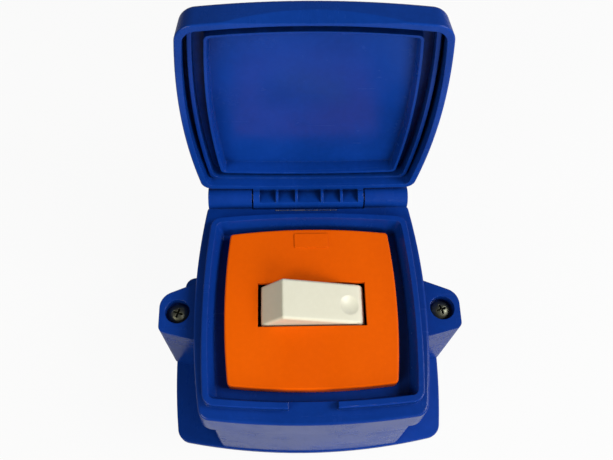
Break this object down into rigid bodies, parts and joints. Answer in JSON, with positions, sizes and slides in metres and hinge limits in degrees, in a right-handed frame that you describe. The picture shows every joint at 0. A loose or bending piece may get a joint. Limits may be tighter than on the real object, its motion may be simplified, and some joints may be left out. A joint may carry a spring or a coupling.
{
  "type": "weatherproof switch box",
  "caption": "Surface-mount electrical box of blue plastic with a hinged flap lid, screw ears, an orange face plate and a wide rocker switch.",
  "frame": {"origin": "on the face that goes against the wall, on the line between the two ear screws", "axes": "+Z out of the front of the box, +Y towards the hinge, +X to the right when the hinge is at the top"},
  "size_m": [0.1272, 0.1265, 0.1569],
  "materials": {
    "blue_base": "moulded, semi-gloss",
    "blue_housing": "moulded, semi-gloss",
    "blue_lid": "moulded, semi-gloss",
    "orange_plate": "moulded, satin",
    "cream_rocker": "moulded, semi-gloss",
    "case_plastic": "moulded, matt",
    "plunger_plastic": "moulded, matt",
    "seal_rubber": "matt",
    "zinc_steel": "dull zinc plate",
    "pin_steel": "drawn",
    "spring_steel": "bright",
    "brass": "turned",
    "contact_brass": "stamped"
  },
  "bodies": {
    "box": {"back_base": "blue_base", "base_gasket": "seal_rubber", "cable_grommet": "seal_rubber", "front_housing": "blue_housing", "ear_screws": "zinc_steel", "ear_inserts": "brass", "hinge_pin": "pin_steel", "hinge_leaf": "spring_steel", "face_plate": "orange_plate", "switch_case": "case_plastic", "case_screws": "zinc_steel", "pivot_pin": "pin_steel", "left_contact": "contact_brass", "right_contact": "contact_brass", "contact_cradle": "contact_brass", "terminal_clamps": "brass", "terminal_screws": "zinc_steel", "earth_terminal": "brass", "earth_screw": "zinc_steel"},
    "flap": {"lid": "blue_lid"},
    "rocker_set": {"rocker": "cream_rocker", "plunger": "plunger_plastic", "plunger_spring": "spring_steel"},
    "seesaw": {"contact_blade": "contact_brass"}
  },
  "joints": [
    {"name": "lid_hinge", "type": "hinge", "parent": "box", "child": "flap", "pos_m": [0, 0.0504, 0.0574], "axis": [1, 0, 0], "range_deg": [0, 97.1]},
    {"name": "rocker_tilt", "type": "hinge", "parent": "box", "child": "rocker_set", "pos_m": [0.0004, 0.0006, 0.05], "axis": [0, 1, 0], "range_deg": [-30.8, 0]},
    {"name": "contact_tilt", "type": "hinge", "parent": "box", "child": "seesaw", "pos_m": [0.0004, 0.0006, 0.0362], "axis": [0, 1, 0], "range_deg": [0, 16]}
  ],
  "couplings": [
    {"joint": "contact_tilt", "follows": "rocker_tilt", "ratio": -0.519}
  ]
}
